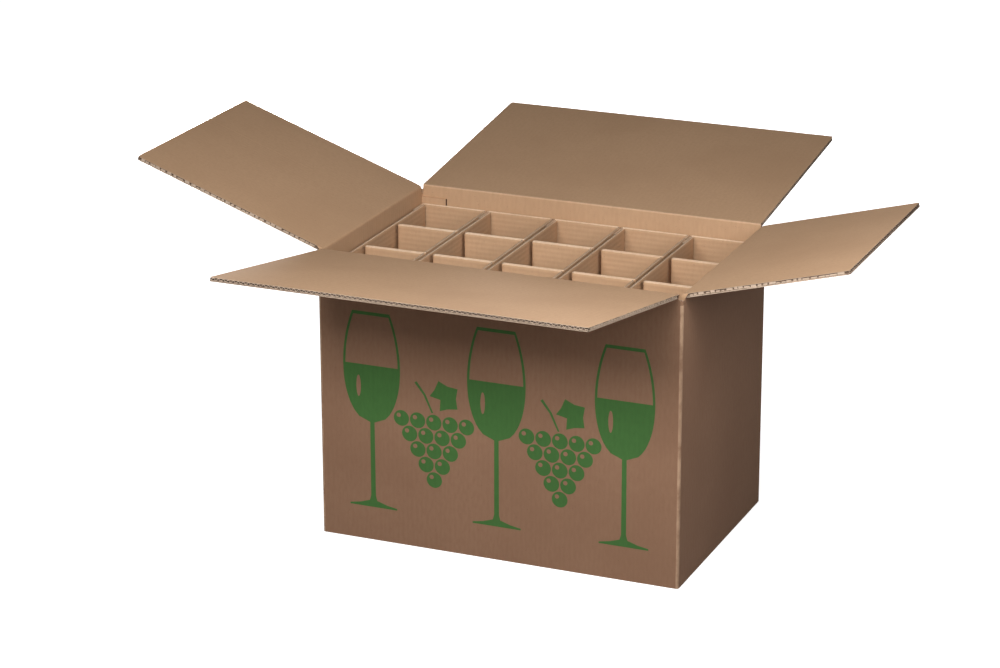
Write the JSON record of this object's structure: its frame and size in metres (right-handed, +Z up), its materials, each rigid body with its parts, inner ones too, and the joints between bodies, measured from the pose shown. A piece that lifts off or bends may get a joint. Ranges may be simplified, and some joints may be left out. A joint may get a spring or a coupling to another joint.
{
  "type": "bottle shipping box",
  "caption": "Open corrugated cardboard shipping box with hinged top flaps and folded inserts that divide it into upright bottle cells.",
  "frame": {"origin": "centre of the case's underside, on the floor", "axes": "+X along the long side towards the shorter side flap, +Y to the back, +Z up"},
  "size_m": [0.9442, 0.9126, 0.4715],
  "materials": {
    "case_board": "uncoated brown kraft liner over double-wall corrugated board",
    "insert_board": "uncoated pale brown liner over single-wall corrugated board"
  },
  "bodies": {
    "case": {"case_body": "case_board", "bottle_insert_1": "insert_board", "bottle_insert_2": "insert_board", "bottle_insert_3": "insert_board", "bottle_insert_4": "insert_board", "bottle_insert_5": "insert_board"},
    "left_flap": {"left_flap": "case_board"},
    "right_flap": {"right_flap": "case_board"},
    "front_flap": {"front_flap": "case_board"},
    "back_flap": {"back_flap": "case_board"}
  },
  "joints": [
    {"name": "left_flap_crease", "type": "hinge", "parent": "case", "child": "left_flap", "pos_m": [-0.2425, 0, 0.376], "axis": [0, 1, 0], "range_deg": [-104.5, 160.5]},
    {"name": "right_flap_crease", "type": "hinge", "parent": "case", "child": "right_flap", "pos_m": [0.2425, 0, 0.376], "axis": [0, -1, 0], "range_deg": [-100, 165]},
    {"name": "front_flap_crease", "type": "hinge", "parent": "case", "child": "front_flap", "pos_m": [0, -0.155, 0.3788], "axis": [-1, 0, 0], "range_deg": [-50, 170]},
    {"name": "back_flap_crease", "type": "hinge", "parent": "case", "child": "back_flap", "pos_m": [0, 0.1525, 0.3816], "axis": [1, 0, 0], "range_deg": [-37, 173]}
  ]
}
